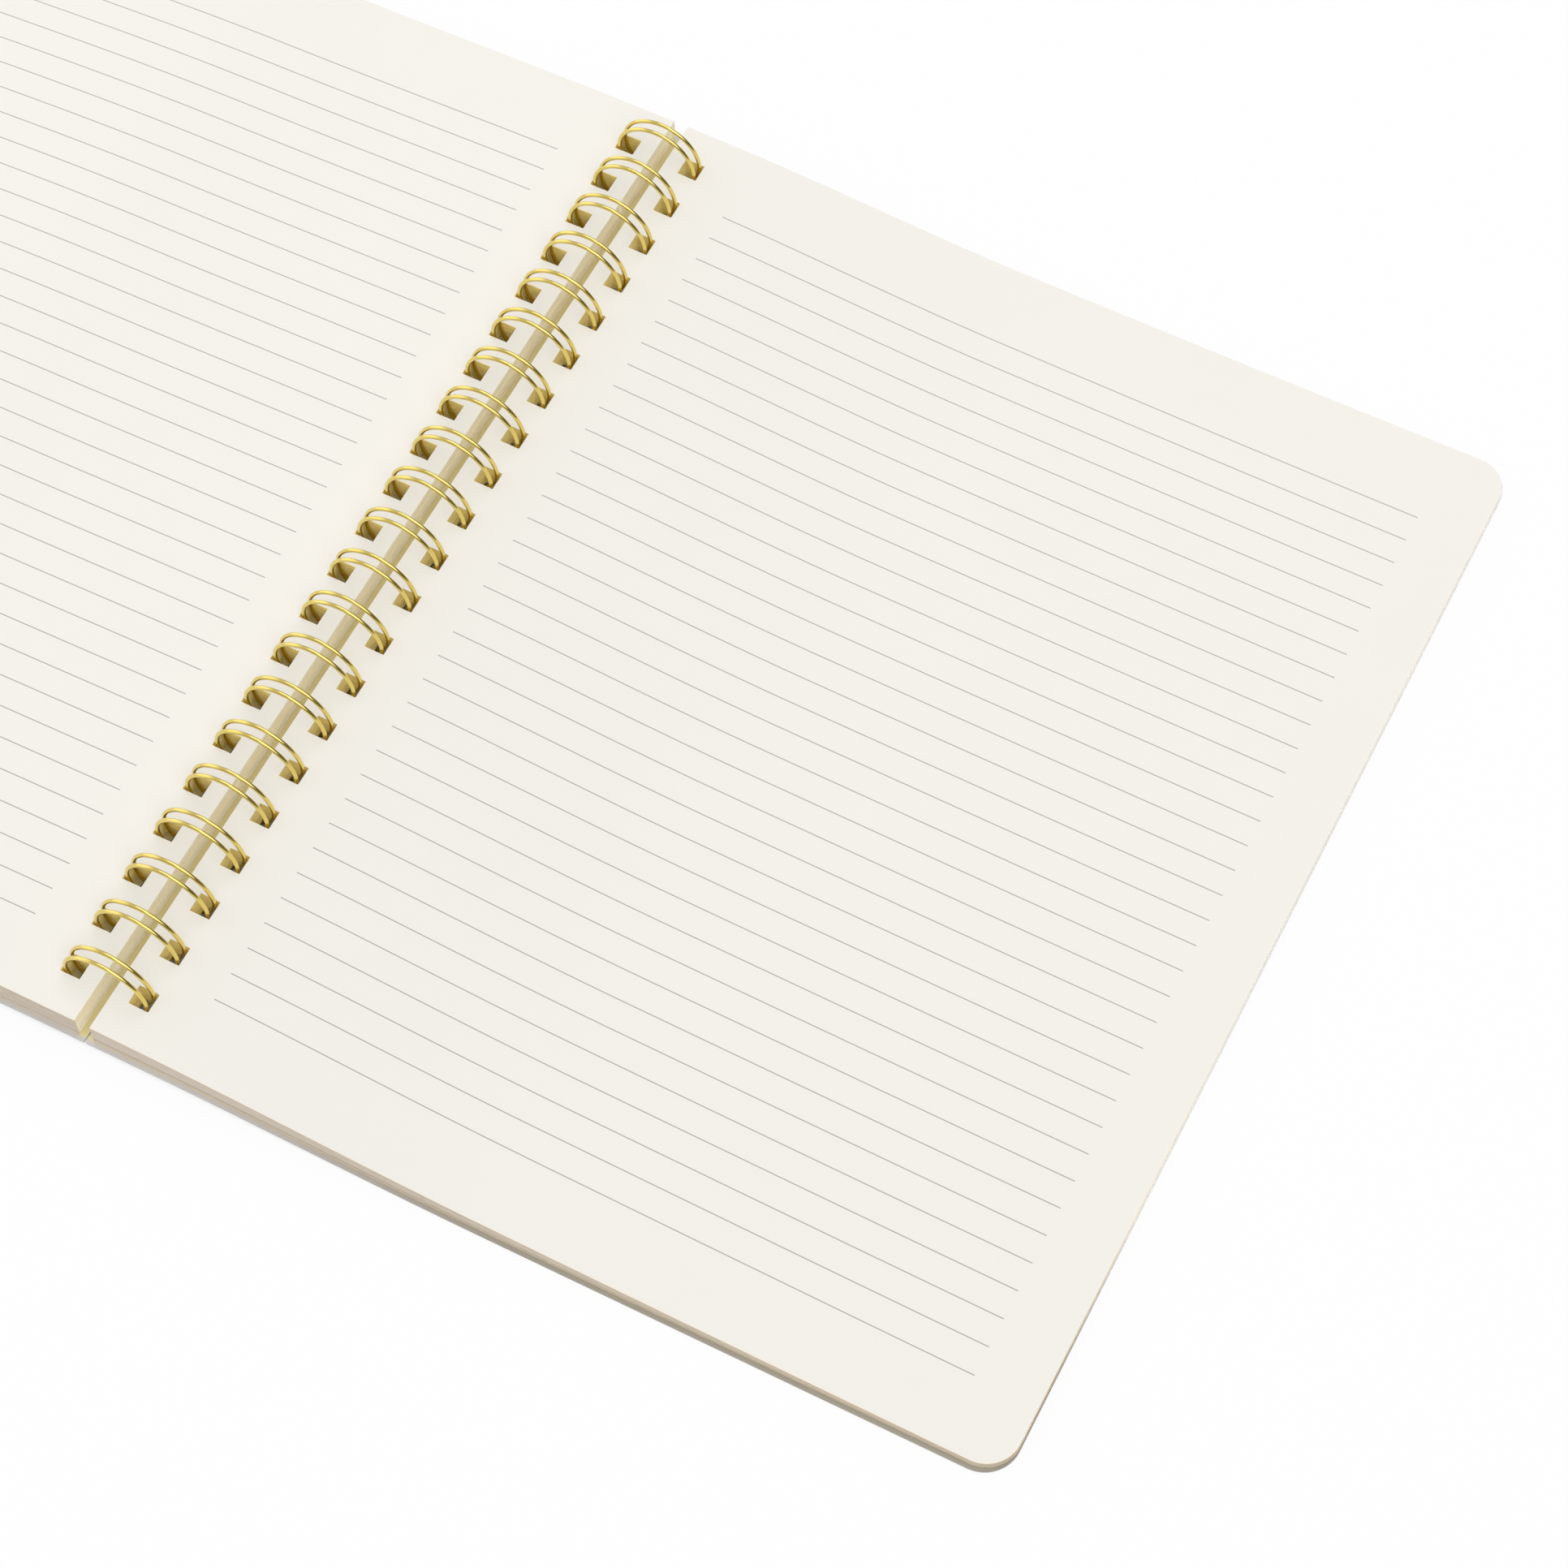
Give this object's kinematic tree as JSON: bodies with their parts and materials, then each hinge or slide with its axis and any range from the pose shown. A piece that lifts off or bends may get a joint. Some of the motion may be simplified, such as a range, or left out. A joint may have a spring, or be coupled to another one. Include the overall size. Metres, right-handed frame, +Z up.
{
  "type": "wire-bound notebook",
  "caption": "Open wire-bound notebook with twin-loop binding, two stacks of ruled pages with square punched holes, and two card covers.",
  "frame": {"origin": "on the table, under the middle of the wire binding", "axes": "+X across the open notebook towards the right-hand page, +Y up the page, +Z up from the table"},
  "size_m": [0.4412, 0.2786, 0.0216],
  "materials": {
    "wire": "polished",
    "paper": "matte",
    "cover_card": "matte"
  },
  "bodies": {
    "binding": {"wire_binding": "wire"},
    "front_half": {"front_cover": "cover_card", "front_pages": "paper"},
    "back_half": {"back_cover": "cover_card", "back_pages": "paper"}
  },
  "joints": [
    {"name": "front_half_turn", "type": "hinge", "parent": "binding", "child": "front_half", "pos_m": [0, 0, 0.01083], "axis": [0, 1, 0], "range_deg": [0, 180]},
    {"name": "back_half_turn", "type": "hinge", "parent": "binding", "child": "back_half", "pos_m": [0, 0, 0.01083], "axis": [0, -1, 0], "range_deg": [0, 180]}
  ]
}
